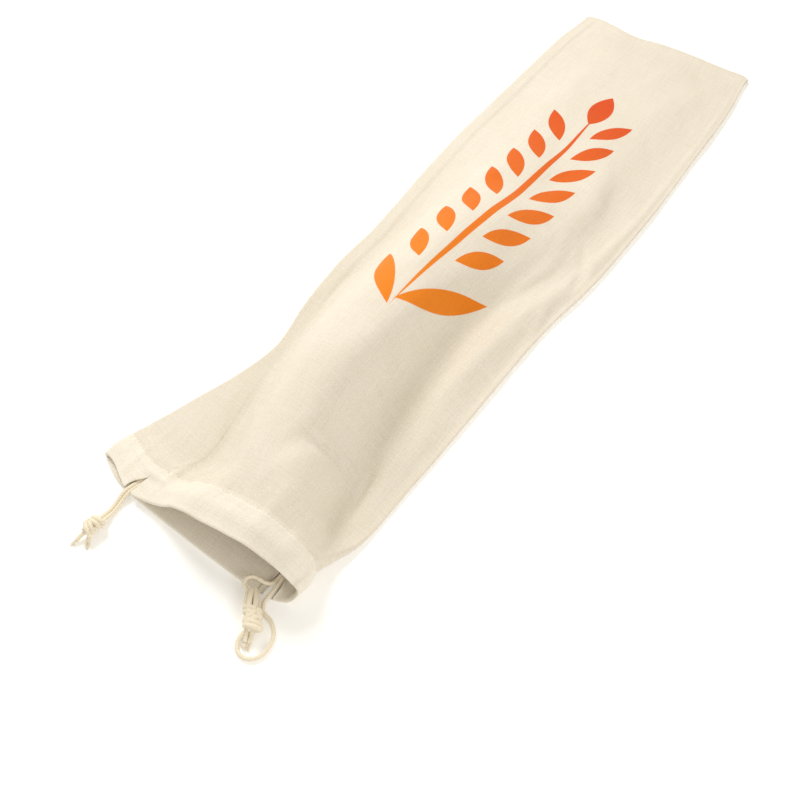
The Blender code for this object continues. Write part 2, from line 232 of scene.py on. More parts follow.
FIBRE_RADIUS = 0.32
FIBRE_LAY = 3.0
FIBRE_SIDES = 6
FIBRE_LOWEST = 0.5


def knot_lines(knot, seed):
    """The lines of cord that make a knot: the strands that run through it, the doubled turns laid slanting
    round them, and the frayed ends."""
    heading = math.radians(knot.heading)
    forward = Vector((math.cos(heading), math.sin(heading), 0))
    across = Vector((-forward.y, forward.x, 0))
    up = Vector((0, 0, 1))
    middle = Vector(knot.middle)
    lines = []
    for n in range(knot.cores):
        core = []
        for share in np.linspace(-1, 1, 11):
            angle = 2 * math.pi * n / knot.cores + 0.5 * share + seed
            out = knot.core_out * (1 - 0.5 * abs(share) ** 3)
            core.append(middle + forward * knot.length / 2 * share
                        + across * math.cos(angle) * out + up * math.sin(angle) * out * KNOT_FLAT)
        lines.append((smooth_line(core, 0.6), KNOT_CORD_RADIUS, PLIES, PLY_LAY, KNOT_SIDES))
    for n, start in enumerate(knot.wraps):
        for pair in (-1, 1):
            wrap = []
            for k in range(TURN_POINTS + 1):
                angle = 2 * math.pi * k / TURN_POINTS + 2.1 * n + seed
                slant = knot.slant * (1 if n % 2 else -0.8)
                along = start * knot.length + pair * TURN_SPACING + slant * math.cos(angle)
                out = knot.wrap_out * (1 + 0.05 * math.sin(2 * angle + n))
                wrap.append(middle + forward * along + across * math.cos(angle) * out
                            + up * math.sin(angle) * out * TURN_FLAT)
            lines.append((smooth_line(wrap, 0.5), KNOT_CORD_RADIUS, PLIES, PLY_LAY, KNOT_SIDES))
    for n, end in enumerate(knot.ends):
        line = smooth_line(end, 0.6)
        lines.append((line, CORD_RADIUS * END_SWELL, PLIES, PLY_LAY, KNOT_SIDES))
        tip, way = Vector(line[-1]), Vector(line[-1] - line[-4]).normalized()
        for k in range(FRAY_FIBRES):
            turn = 2.4 * k + n + seed
            spread = 0.25 + 0.75 * ((k * 7 + n * 3) % 5) / 4
            side = Vector((math.cos(turn), math.sin(turn), 0.5 * math.sin(turn * 1.7)))
            reach = FRAY_LONG * (0.75 + 0.25 * math.sin(turn * 2.3))
            fibre = [tip - way * 0.8 + side * 0.7, tip + way * reach * 0.5 + side * (0.7 + 0.5 * spread),
                     tip + way * reach + side * (0.6 + 1.5 * spread)]
            for point in fibre:
                point.z = max(point.z, FIBRE_LOWEST)
            lines.append((smooth_line(fibre, 0.7), FIBRE_RADIUS, 2, FIBRE_LAY, FIBRE_SIDES))
    return lines


for seed, knot in enumerate(KNOTS):
    piece = cord_piece(knot.name + "_tied", knot_lines(knot, seed))
    piece.data.materials.append(cord_cotton)
    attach(piece, "root")
    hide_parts(knot.name)
    for number in (1, 2):
        strand, path = strands[knot.name.replace("knot", f"cord_{number}")]

# Front panel
# One length of unbleached linen, plain-woven, cut 20 cm wide and as long as the bag and its casing. It
# goes over the top of the bag and round its right edge. At the mouth it is turned in and stitched down
# as the casing, and its raw edges are turned in along both side seams and across the far end. The bag
# lies on its back panel with its body filled out, and its left side is folded over at the mouth.
BAG_LENGTH = 687.0
HEM_DEPTH = 25.0
PAIR = 2.6
HEM_STACK = 5.8
SLIT_WIDTH = 7.0
SLIT_OPEN = 4.5
SLIT_SHUT = 17.0
HEM_BACK = 3.6
PANEL_WIDTH = 197.0

# How the bag lies, one section across it in each row, as in the part: where its edges, the rise, the
# crest and the fall of its top are, how far each seam has turned from its edge, how the flat side puffs
# up, and how roundly the right side rolls under at the mouth. RIM_LINE is how far the rim stands back of
# a straight cut, on its way round from the left edge over the top, and fades over RIM_REACH.
Section = namedtuple(
    "Section",
    "along left rise crest height fall right seam_left seam_right puff roll_radius roll_angle",
)
SECTIONS = (
    Section(0, -104, -68, 36, 42, 66, 80, 32.6, 6, 0.0, 10.0, 55),
    Section(25, -101, -57, 34, 48, 66, 79, 41.4, 7, 0.6, 9.0, 48),
    Section(44, -97, -45, 28, 53, 70, 83, 51, 9, 1.0, 4.0, 20),
    Section(60, -92, -44, 22, 56, 66, 88, 46, 9, 1.6, 1.0, 4),
    Section(85, -85, -48, 14, 57, 61, 90, 34, 7, 2.6, 0.0, 0),
    Section(115, -76, -55, 6, 60, 57, 90, 18, 5, 3.4, 0.0, 0),
    Section(150, -71, -62, 0, 63, 52, 91, 7, 4, 4.0, 0.0, 0),
    Section(195, -79, -68, -6, 57, 48, 91, 3, 3, 4.2, 0.0, 0),
    Section(250, -86, -74, -10, 50, 47, 91, 3, 3, 4.2, 0.0, 0),
    Section(305, -87, -74, -8, 43, 62, 93, 3, 3, 3.8, 0.0, 0),
    Section(350, -91, -76, -4, 33, 74, 98, 3, 3, 3.0, 0.0, 0),
    Section(400, -95, -82, 0, 21, 82, 100, 3, 3, 2.2, 0.0, 0),
    Section(460, -98, -88, 0, 13, 88, 100, 3, 3, 1.4, 0.0, 0),
    Section(545, -98, -90, 4, 9, 88, 97, 3, 3, 1.0, 0.0, 0),
    Section(630, -99, -90, 2, 7, 84, 93, 3, 3, 0.8, 0.0, 0),
    Section(BAG_LENGTH, -95, -86, 0, PAIR, 78, 87, 3, 3, 0.0, 0.0, 0),
)
Rim = namedtuple("Rim", "round_share back")
RIM_LINE = (
    Rim(0.00, 4.0),
    Rim(0.09, -8.0),
    Rim(0.15, -5.0),
    Rim(0.28, 0.0),
    Rim(0.42, 6.0),
    Rim(0.50, 8.0),
    Rim(0.54, -1.0),
    Rim(0.58, -6.0),
    Rim(0.75, -8.0),
    Rim(0.92, -6.0),
    Rim(1.00, 4.0),
)
RIM_REACH = 110.0

# The far end's edge: cut a little askew, drawn in by a dip of this depth at this place and width, and
# rounded at its corners
END_SKEW = 0.03
SKEW_FROM = 520.0
END_DIP = 5.5
END_DIP_AT = (-42.0, 26.0)
END_DRAW = 90
CORNER_DRAW = 2.6
CORNER_FROM = 84
CORNER_TO = 92
CORNER_MIDDLE = -4

# The large folds are those of the part. The narrow creases, by the casing, at the bend of the right flank
# and along the sides, lie on the surface of the cloth. A height below zero is a dent.
Crease = namedtuple("Crease", "x along length width turn height")
CREASES = (
    Crease(30, 92, 34, 9, 62, -4.0),
    Crease(-22, 120, 46, 13, 118, -2.6),
    Crease(66, 238, 60, 8, 84, 2.4),
    Crease(88, 352, 26, 7, 128, -5.0),
    Crease(62, 330, 44, 14, 100, 3.0),
    Crease(-30, 420, 70, 20, 60, 3.2),
    Crease(44, 455, 60, 18, 120, 3.4),
    Crease(78, 515, 26, 8, 140, -3.2),
    Crease(-48, 560, 66, 20, 100, 3.0),
    Crease(20, 620, 54, 16, 24, -2.6),
    Crease(52, 600, 40, 16, 70, 3.0),
)
NARROW_CREASES = (
    Crease(42, 97, 15, 2.8, 22, 2.2),
    Crease(41, 91.5, 13, 2.6, 24, -1.9),
    Crease(64.5, 93, 20, 3.0, 101, -2.2),
    Crease(-58, 18, 13, 2.6, -8, 2.2),
    Crease(-50, 23, 9, 2.4, 128, 2.4),
    Crease(-48, 31, 9, 2.4, 103, 2.6),
    Crease(-40, 62, 30, 4.0, 118, -1.2),
    Crease(-34, 88, 34, 4.5, 112, 1.2),
    Crease(8, 40, 16, 4.0, 96, 1.1),
    Crease(26, 38, 13, 3.5, 84, -1.0),
    Crease(-14, 42, 18, 4.5, 104, -1.0),
    Crease(58, 46, 15, 4.0, 76, 1.2),
    Crease(82, 372, 22, 4.0, 120, -1.6),
    Crease(84, 300, 30, 4.0, 100, 1.2),
    Crease(-66, 250, 44, 5.0, 84, -1.0),
)

# The cloth can't follow the foot of the right flank and spans it in a soft hollow, and the flat side
# beyond it swells a little.
BRIDGE_HIGH = 5.0
BRIDGE_WIDE = 11.0
SIDE_SWELL = 2.4
SIDE_STEPS = 24

# How far the cloth keeps its direction at each end of the rise and of the fall, as shares of the run
RISE_START = 0.36
RISE_END = 0.62
FALL_START = 0.60
FALL_END = 0.30
SLOPE_STEPS = 60


def ease(value, low, high):
    """0 below low, 1 above high, and a smooth step between."""
    share = np.clip((value - low) / (high - low), 0.0, 1.0)
    return share * share * (3 - 2 * share)


def smooth_table(table, values):
    """The columns of a table at these values of its first column, on a smooth curve through its rows."""
    table = np.array(table, float)
    keys = table[:, 0]
    slopes = np.zeros_like(table)
    steps = np.diff(table, axis=0)
    for i in range(1, len(keys) - 1):
        slope = (table[i + 1] - table[i - 1]) / (keys[i + 1] - keys[i - 1])
        slopes[i] = np.where(steps[i - 1] * steps[i] > 0, slope, 0.0)
    values = np.atleast_1d(np.asarray(values, float))
    i = np.clip(np.searchsorted(keys, values, side="right") - 1, 0, len(keys) - 2)
    span = (keys[i + 1] - keys[i])[:, None]
    t = np.clip((values - keys[i]) / span[:, 0], 0, 1)[:, None]
    return (
        (2 * t**3 - 3 * t**2 + 1) * table[i] + (t**3 - 2 * t**2 + t) * slopes[i] * span
        + (3 * t**2 - 2 * t**3) * table[i + 1] + (t**3 - t**2) * slopes[i + 1] * span
    )


def bezier(start, start_way, end_way, end, steps):
    """Points of a cubic curve from start to end, without the first."""
    t = (np.arange(1, steps + 1) / steps)[:, None]
    start, start_way, end_way, end = map(np.array, (start, start_way, end_way, end))
    return ((1 - t) ** 3 * start + 3 * t * (1 - t) ** 2 * start_way
            + 3 * t * t * (1 - t) * end_way + t**3 * end)


def arc(centre, radius, first, last, steps):
    """Points on an arc, its angles in degrees from straight up, clockwise."""
    angles = np.radians(np.linspace(first, last, steps + 1))
    return np.column_stack((centre[0] + radius * np.sin(angles), centre[1] + radius * np.cos(angles)))


def lengths(points):
    """The distance along a line of points at each of them."""
    return np.concatenate(([0.0], np.cumsum(np.linalg.norm(np.diff(points, axis=0), axis=1))))


def fold_radius(along):
    """Half the thickness of the cloth's stack at a flat edge, which the turned-in casing doubles."""
    return (HEM_STACK + (PAIR - HEM_STACK) * ease(along, HEM_DEPTH + 1, HEM_DEPTH + 15)) / 2


def crease_height(x, along, creases):
    """How far these creases lift the cloth at these places."""
    lift = np.zeros_like(x)
    for crease in creases:
        turn = math.radians(crease.turn)
        dx, dy = x - crease.x, along - crease.along
        lengthways = (dx * math.cos(turn) + dy * math.sin(turn)) / crease.length
        crossways = (dy * math.cos(turn) - dx * math.sin(turn)) / crease.width
        lift += crease.height * np.exp(-lengthways**2 - crossways**2)
    return lift


def section_runs(along):
    """One section's outer skin as runs of points (x, z): over the top, round the right edge, back along
    the floor, and round the left edge."""
    s = Section(*smooth_table(SECTIONS, along)[0])
    left_radius = fold_radius(along)
    right_radius = left_radius + s.roll_radius
    flat = 2 * left_radius
    roll = math.radians(s.roll_angle)
    centre_x = s.right - right_radius
    fall = min(s.fall, centre_x - 0.5)
    landing = (fall + right_radius * math.sin(roll), right_radius + right_radius * math.cos(roll))
    down = (math.cos(roll), -math.sin(roll))
    up_run, down_run = s.crest - s.rise, landing[0] - s.crest
    height = max(s.height, flat)
    rise, crest = (s.rise, flat), (s.crest, height)
    parts = [np.array([(s.left + left_radius, flat)]), np.array([rise])]
    parts.append(bezier(rise, (s.rise + RISE_START * up_run, flat),
                        (s.crest - RISE_END * up_run, height), crest, SLOPE_STEPS))
    way = FALL_END * down_run
    parts.append(bezier(crest, (s.crest + FALL_START * down_run, height),
                        (landing[0] - down[0] * way, landing[1] - down[1] * way), landing, SLOPE_STEPS))
    share = np.arange(1, SIDE_STEPS + 1) / SIDE_STEPS
    turn_top = (centre_x + right_radius * math.sin(roll), landing[1])
    puff = s.puff + SIDE_SWELL * ease(along, 90, 170) * ease(340 - along, 0, 130)
    puff = puff * (1 - ease(s.roll_angle, 0.0, 4.0)) * np.sin(math.pi * share) ** 2
    parts.append(np.column_stack((landing[0] + (turn_top[0] - landing[0]) * share, landing[1] + puff)))
    top = np.concatenate(parts)
    top[:, 1] += crease_height(top[:, 0], along, CREASES) * ease(top[:, 1], flat, flat + 5)
    bridge = BRIDGE_HIGH * ease(along, 100, 130) * ease(370 - along, 0, 90)
    top[:, 1] += bridge * np.exp(-(((top[:, 0] - fall - 2) / BRIDGE_WIDE) ** 2))
    right_turn = arc((centre_x, right_radius), right_radius, s.roll_angle, 180, FOLD_STEPS)
    floor = np.array([(centre_x, 0.0), (s.left + left_radius, 0.0)])
    left_turn = arc((s.left + left_radius, left_radius), left_radius, 180, 360, FOLD_STEPS)
    return s, top, right_turn, floor, left_turn


# The sheet: its thickness, the points across and along it, and its raw edge, as how far each point of it
# steps back from the seam and how deep it goes into the bag
CLOTH_THICKNESS = 0.6
FOLD_STEPS = 10
TOP_COLUMNS = 118
UNDER_COLUMNS = 5
ROW_STEP = 2.6
TURNED_EDGE = ((0.30, 0.22), (0.02, 1.30))
TURNED_WAYS = (0.4, 1.5)
SEAM_TUCK = 0.2
END_APART = 0.06
END_TURN_STEPS = 5
RIM_TURN_STEPS = 7
ROW_STEP_BY_STITCHES = 0.9
LEAST_UNDER = 0.8


def spaced(points, ways):
    """Points at these distances along a line."""
    total = lengths(points)
    return np.column_stack([np.interp(ways, total, points[:, k]) for k in (0, 1)])


def slit(along):
    """The gap between the panels at a side seam, which opens at the casing to let the cord out."""
    return SLIT_WIDTH * (1 - ease(along, SLIT_OPEN, SLIT_SHUT))


def panel_section(side, along, depth):
    """One section of the front panel (side 0) or the back panel (side 1): its points, how far each lies
    from its own first seam, and the share of the way round at which it lies. The hem, which is deeper in
    the bag, stops short of the seams."""
    s, top, right_turn, floor, left_turn = section_runs(along)
    top_way, floor_way = lengths(top)[-1], lengths(floor)[-1]
    right_way, left_way = lengths(right_turn)[-1], lengths(left_turn)[-1]
    girth = top_way + right_way + floor_way + left_way
    half = slit(along) / 2 + HEM_BACK * depth / PAIR
    if side == 0:
        runs = [spaced(top, np.linspace(s.seam_left + half, top_way, TOP_COLUMNS)), right_turn[1:],
                spaced(floor, np.linspace(0, max(s.seam_right - half, LEAST_UNDER), UNDER_COLUMNS))[1:]]
        first = (left_way / 2 + s.seam_left) / girth
    else:
        runs = [spaced(floor, np.linspace(s.seam_right + half, floor_way, FLOOR_COLUMNS)), left_turn[1:],
                spaced(top, np.linspace(0, s.seam_left - half, FLANGE_COLUMNS))[1:]]
        first = (left_way / 2 + top_way + right_way + s.seam_right) / girth
    points = np.concatenate(runs)
    ways = lengths(points)
    return points, ways + half, first + ways / girth


def inward(points):
    """The direction from the skin into the bag at each point of a section."""
    along_skin = np.gradient(points, axis=0)
    along_skin /= np.linalg.norm(along_skin, axis=1)[:, None]
    return np.column_stack((along_skin[:, 1], -along_skin[:, 0]))


# Soft relief: the size of its features across and along the bag, its seed and its height, all as uneven
# as cloth that has been sewn, washed and handled. The gathers and pinches run from the casing's stitches
# and fade from there over the last number.
Relief = namedtuple("Relief", "across_mm along_mm seed height fade_mm", defaults=(None,))
FINE_GATHERS = Relief(5.5, 60, 3.1, 1.3, 12)
WIDE_GATHERS = Relief(12, 120, 9.4, 2.6, 28)
PINCHES = Relief(6.5, 45, 4.3, 2.4, 14)
BROAD_FOLDS = Relief(48, 95, 1.7, 4.6)
BROAD_DENTS = Relief(22, 60, 5.2, 1.9)
SWELLS = Relief(34, 75, 6.6, 1.8)
CRUMPLES = Relief(17, 31, 2.3, 0.45)
SMALL_CRUMPLES = Relief(9, 13, 7.7, 0.25)

# The casing's step and roll, each on flat cloth and what it gains on loose cloth, the groove of its
# stitches, the allowances inside the seams, and the puckers along them
CASING_STEP = (0.8, 0.9)
CASING_ROLL = (0.7, 1.5)
CASING_ROLL_AT = 12
CASING_ROLL_WIDE = 7.0
GROOVE_DEEP = 0.8
GROOVE_WIDE = 1.3
ALLOWANCE_HIGH = 0.9
PUCKER_HIGH = 0.2
PUCKERS_PER_MM = 0.83


def noise_at(x, along, relief):
    """Smooth noise from -1 to 1 over the cloth, with features of this relief's sizes."""
    return np.array([noise.noise(Vector((a / relief.across_mm, along / relief.along_mm, relief.seed)))
                     for a in x])


def worked_height(x, z, along, from_seam):
    """How far sewing and handling lift the cloth from its plain shape: the doubled casing and the stitches
    that hold it, gathers that run from them, the allowances pressed flat inside the seams, and soft
    crumples all over."""
    loose = ease(z, 6.0, 14.0) * ease(BAG_LENGTH - along, 0, 40)
    upper = ease(z, 1.5, 2.5)
    near_stitches = abs(along - HEM_DEPTH)
    casing = CASING_STEP[0] + CASING_STEP[1] * loose
    casing = casing * (1 - ease(along, HEM_DEPTH - 0.2, HEM_DEPTH + 2.4))
    roll = CASING_ROLL[0] + CASING_ROLL[1] * loose
    casing = casing + roll * math.exp(-(((along - CASING_ROLL_AT) / CASING_ROLL_WIDE) ** 2))
    stitched = -GROOVE_DEEP * math.exp(-((near_stitches / GROOVE_WIDE) ** 2))
    gathers = 0.0
    for relief in (FINE_GATHERS, WIDE_GATHERS):
        gathers += noise_at(x, along, relief) * relief.height * math.exp(-near_stitches / relief.fade_mm)
    pinched = np.clip(noise_at(x, along, PINCHES), 0, 1) * PINCHES.height
    pinched = pinched * math.exp(-near_stitches / PINCHES.fade_mm)
    broad = sum(noise_at(x, along, relief) * relief.height for relief in (BROAD_FOLDS, BROAD_DENTS))
    swell = np.clip(noise_at(x, along, SWELLS) + 0.2, 0, 1) * SWELLS.height * ease(along, 30, 60)
    small = sum(noise_at(x, along, relief) * relief.height for relief in (SMALL_CRUMPLES, CRUMPLES))
    allowance = ALLOWANCE_HIGH * (1 - ease(from_seam, 6.5, 8.5)) * ease(along, 150, 220)
    at_end = ease(along, BAG_LENGTH - 10.0, BAG_LENGTH - 7.5)
    allowance = np.maximum(allowance, ALLOWANCE_HIGH * at_end)
    pucker = PUCKER_HIGH * np.sin(along * PUCKERS_PER_MM) * (1 - ease(from_seam, 2.0, 12.0))
    narrow = crease_height(x, along, NARROW_CREASES)
    lift = narrow + casing + stitched + allowance + pucker + small + (swell + pinched) * (1 - loose)
    return upper * lift + loose * (gathers + broad)


def placed(points, along, shares):
    """Points of the skin in space, with the rim's line, the far end's skew and its rounded edge."""
    rim = smooth_table(RIM_LINE, np.mod(shares, 1.0))[:, 1]
    fade = max(0.0, 1 - along / RIM_REACH) ** 2
    skew = END_SKEW * points[:, 0] * ease(along, SKEW_FROM, BAG_LENGTH)
    dip = END_DIP * np.exp(-(((points[:, 0] - END_DIP_AT[0]) / END_DIP_AT[1]) ** 2))
    corner = CORNER_DRAW * ease(abs(points[:, 0] - CORNER_MIDDLE), CORNER_FROM, CORNER_TO)
    end = (dip + corner) * ease(along, BAG_LENGTH - END_DRAW, BAG_LENGTH)
    return np.column_stack((points[:, 0], along + rim * fade + skew - end, points[:, 1]))


Row = namedtuple("Row", "along depth forward turn down_cloth")


def row_plan():
    """Each row of a panel: how far along the bag, how deep inside the skin, how far forward, how much of
    the far end's edge it has turned, and how far it lies along the cloth from the mouth's rim."""
    edge = PAIR / 2
    far = BAG_LENGTH - edge
    plan = [Row(BAG_LENGTH - 5.0, 0.0, 0.0, 180.0, BAG_LENGTH + 6.5),
            Row(BAG_LENGTH - 2.2, 0.0, 0.0, 180.0, BAG_LENGTH + 4)]
    for k in range(END_TURN_STEPS, -1, -1):
        turn = 90.0 * k / END_TURN_STEPS
        plan.append(Row(far, 0.0, 0.0, turn, far + math.radians(turn) * edge))
    count = round((far - HEM_DEPTH - 6) / ROW_STEP)
    body = np.linspace(far, HEM_DEPTH + 6, count + 1)[1:]
    by_stitches = np.arange(HEM_DEPTH + 5, HEM_DEPTH - 4.5, -ROW_STEP_BY_STITCHES)
    casing = np.linspace(HEM_DEPTH - 5.5, edge + 0.8, 12)
    for along in np.concatenate((body, by_stitches, casing)):
        plan.append(Row(along, 0.0, 0.0, 0.0, along))
    for k in range(RIM_TURN_STEPS + 1):
        turn = math.pi * k / RIM_TURN_STEPS
        plan.append(Row(edge, edge * (1 - math.cos(turn)), edge * math.sin(turn), 0.0, edge - turn * edge))
    for along in np.linspace(edge + 1.6, HEM_DEPTH - 0.6, 11):
        plan.append(Row(along, PAIR, 0.0, 0.0, -along - 2))
    return plan


def panel_grid(side):
    """A panel's points and its cloth's own coordinates, row by row."""
    rows, cloth = [], []
    middle = PAIR / 2
    for along, depth, forward, turn, down_cloth in row_plan():
        section, ways, shares = panel_section(side, along, depth)
        ways = ways * PANEL_WIDTH / (ways[-1] + ways[0])
        into = inward(section)
        from_seam = np.minimum(ways, PANEL_WIDTH - ways)
        lift = worked_height(section[:, 0], section[:, 1], along, from_seam)
        skin = section - into * lift[:, None]
        skin = np.column_stack((skin[:, 0], np.maximum(skin[:, 1], 0.0)))
        if depth:
            nearest = np.minimum(ways - ways[0], ways[-1] - ways)
            skin = skin + into * (depth * (0.5 + 0.5 * ease(nearest, 0.0, 14.0)))[:, None]
        if turn:
            across = np.cos(np.radians(min(turn, 90.0)))
            shut = END_APART if side == 0 else -END_APART
            skin[:, 1] = middle + shut + (skin[:, 1] - middle) * across
        # The raw edges at the seams are turned into the bag
        edges = []
        for end in (0, -1):
            step = skin[1] - skin[0] if end == 0 else skin[-2] - skin[-1]
            step = step / np.linalg.norm(step)
            edges.append([skin[end] - step * back + into[end] * deep for back, deep in TURNED_EDGE])
        skin[0] += (skin[1] - skin[0]) * SEAM_TUCK
        skin[-1] += (skin[-2] - skin[-1]) * SEAM_TUCK
        skin = np.concatenate((edges[0][::-1], skin, edges[1]))
        before = [ways[0] - way for way in reversed(TURNED_WAYS)]
        after = [ways[-1] + way for way in TURNED_WAYS]
        ways = np.concatenate((before, ways, after))
        shares = np.concatenate(([shares[0]] * 2, shares, [shares[-1]] * 2))
        line = placed(skin, along, shares)
        line[:, 1] -= forward
        if 0 < turn <= 90:
            line[:, 1] += math.sin(math.radians(turn)) * PAIR / 2
        rows.append(line)
        cloth.append(np.column_stack((ways + side * PANEL_WIDTH, np.full(len(ways), down_cloth))))
    return rows, cloth


def sheet_piece(name, rows, cloth):
    """A sheet laid on rows of points, its UV map in millimetres of cloth, thickened towards the inside."""
    count = len(rows[0])
    mesh = bpy.data.meshes.new(name)
    bm = bmesh.new()
    uv_layer = bm.loops.layers.uv.new("cloth_mm")
    verts = [[bm.verts.new((Vector(point) + TO_ROW) * MM) for point in row] for row in rows]
    for r in range(len(rows) - 1):
        for c in range(count - 1):
            corners = ((r, c), (r + 1, c), (r + 1, c + 1), (r, c + 1))
            face = bm.faces.new([verts[i][j] for i, j in corners])
            face.smooth = True
            for loop, (i, j) in zip(face.loops, corners):
                loop[uv_layer].uv = cloth[i][j]
    bm.to_mesh(mesh)
    bm.free()
    piece = bpy.data.objects.new(name, mesh)
    bpy.context.scene.collection.objects.link(piece)
    thick = piece.modifiers.new("cloth thickness", "SOLIDIFY")
    thick.thickness = CLOTH_THICKNESS * MM
    thick.offset = -1.0
    return piece


# Unbleached linen, woven plain from uneven yarn: matt and soft, with a faint grid of threads, thicker
# slubs that run both ways, fine specks, broad paler and darker places, and some light that comes
# through, less where the casing is doubled. Real threads are 0.5 mm apart, which is too fine to show, so
# they are drawn 1.2 mm apart, and the specks 1.5 mm.
LINEN_LIGHT = "#F9F4E9"
LINEN_DARK = "#F0E7D5"
LINEN_THROUGH = "#F3DDB6"
THREAD_MM = 1.2
SLUB_WIDTH_MM = 1.3
SLUB_LENGTH_MM = 28.0
SPECK_MM = 1.5
BLOTCH_MM = 70.0
WAVER_SCALE = 0.11
WAVER_MM = 3.2
THROUGH_SHARE = 0.20
THROUGH_DOUBLED = 0.09
# The print is one ear of wheat in orange screen ink, along the middle of the front panel: two rows of
# grains, one at the top, two leaves at its foot and a stem. It goes from yellower at the mouth to redder
# at the far end. A lens is a pointed oval: its middle from the foot of the ear, its half length and half
# width, and how far it leans out.
INK_NEAR = "#FF9000"
INK_FAR = "#EE5404"
EAR_ACROSS_MM = 90.0
EAR_FOOT_MM = 284.0
GRAIN_PITCH_MM = 37.0
GRAIN_ROWS = 7
GRAIN_HALF_MM = 23.0
GRAIN_WIDE_MM = 8.2
GRAIN_OUT_MM = 24.0
GRAIN_TILT = 36.0
INK_FROM_MM = 250.0
INK_TO_MM = 560.0
Lens = namedtuple("Lens", "middle half wide tilt")
TOP_GRAIN = Lens((0, GRAIN_PITCH_MM * GRAIN_ROWS + 6), 25.0, 11.0, 0)
RIGHT_LEAF = Lens((27, -34), 44.0, 10.0, 40)
LEFT_LEAF = Lens((-24, -46), 38.0, 9.0, -37)
STEM = Lens((0, 94), 178.0, 3.4, 0)


def math_node(tree, operation, *values):
    """The result of a sum on values or outputs."""
    return add_node(tree, "Math", {"operation": operation}, dict(enumerate(values))).outputs[0]


def lens_mask(tree, across, along, middle, half, wide, tilt):
    """1 inside a pointed oval with its middle here, this long and wide to each side, turned this far
    from the length of the cloth, and 0 outside it."""
    turn = math.radians(tilt)
    dx = math_node(tree, "SUBTRACT", across, middle[0])
    dy = math_node(tree, "SUBTRACT", along, middle[1])
    lengthways = math_node(tree, "ADD", math_node(tree, "MULTIPLY", dy, math.cos(turn)),
                           math_node(tree, "MULTIPLY", dx, math.sin(turn)))
    crossways = math_node(tree, "SUBTRACT", math_node(tree, "MULTIPLY", dx, math.cos(turn)),
                          math_node(tree, "MULTIPLY", dy, math.sin(turn)))
    share = math_node(tree, "DIVIDE", lengthways, half)
    room = math_node(tree, "MULTIPLY_ADD", math_node(tree, "MULTIPLY", share, share), -wide, wide)
    inside = math_node(tree, "SUBTRACT", room, math_node(tree, "ABSOLUTE", crossways))
    return math_node(tree, "SMOOTH_MIN", math_node(tree, "MAXIMUM", inside, 0.0), 1.0, 0.0)


